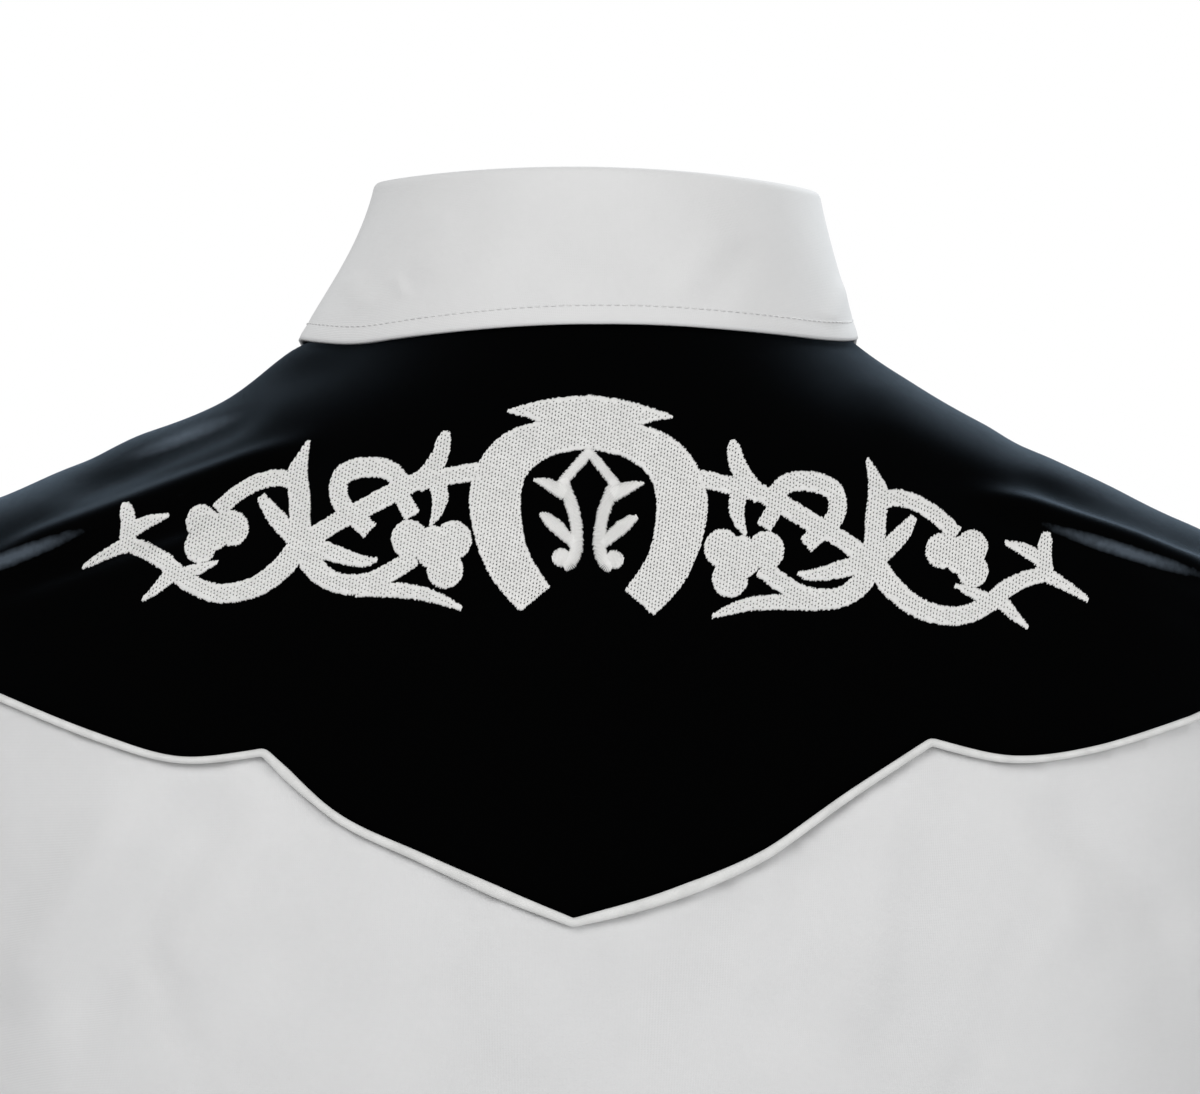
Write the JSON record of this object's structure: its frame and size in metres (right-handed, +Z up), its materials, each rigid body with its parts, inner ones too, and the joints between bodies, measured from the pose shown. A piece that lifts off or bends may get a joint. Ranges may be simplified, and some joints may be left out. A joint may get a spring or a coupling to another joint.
{
  "type": "charro shirt",
  "caption": "Long-sleeved shirt in its worn, hollow form, with a fold-down collar, a contrasting embroidered back yoke and piping on its pointed seam.",
  "frame": {"origin": "midway between the two neck points of the shoulders, where the worn shirt is carried by the wearer's shoulders", "axes": "+Z up, +X towards the wearer's left sleeve, +Y out of the wearer's back, so the front faces -Y"},
  "size_m": [0.9346, 0.2703, 0.837],
  "materials": {
    "body_cotton": "matt plain-woven cotton",
    "firm_cotton": "matt plain-woven cotton, interlined",
    "yoke_sateen": "black cotton sateen with a soft sheen",
    "piping_cord": "cloth-covered cord",
    "button_pearl": "polished off-white resin"
  },
  "bodies": {
    "root": {"back": "body_cotton", "button_collar": "button_pearl", "button_cuff_left": "button_pearl", "button_cuff_right": "button_pearl", "button_front_1": "button_pearl", "button_front_2": "button_pearl", "button_front_3": "button_pearl", "button_front_4": "button_pearl", "button_front_5": "button_pearl", "button_front_6": "button_pearl", "collar_leaf": "firm_cotton", "collar_stand": "firm_cotton", "cuff_left": "firm_cotton", "cuff_right": "firm_cotton", "front_left": "body_cotton", "front_right": "body_cotton", "piping": "piping_cord", "placket": "firm_cotton", "sleeve_left": "body_cotton", "sleeve_right": "body_cotton", "yoke": "yoke_sateen"}
  },
  "joints": []
}
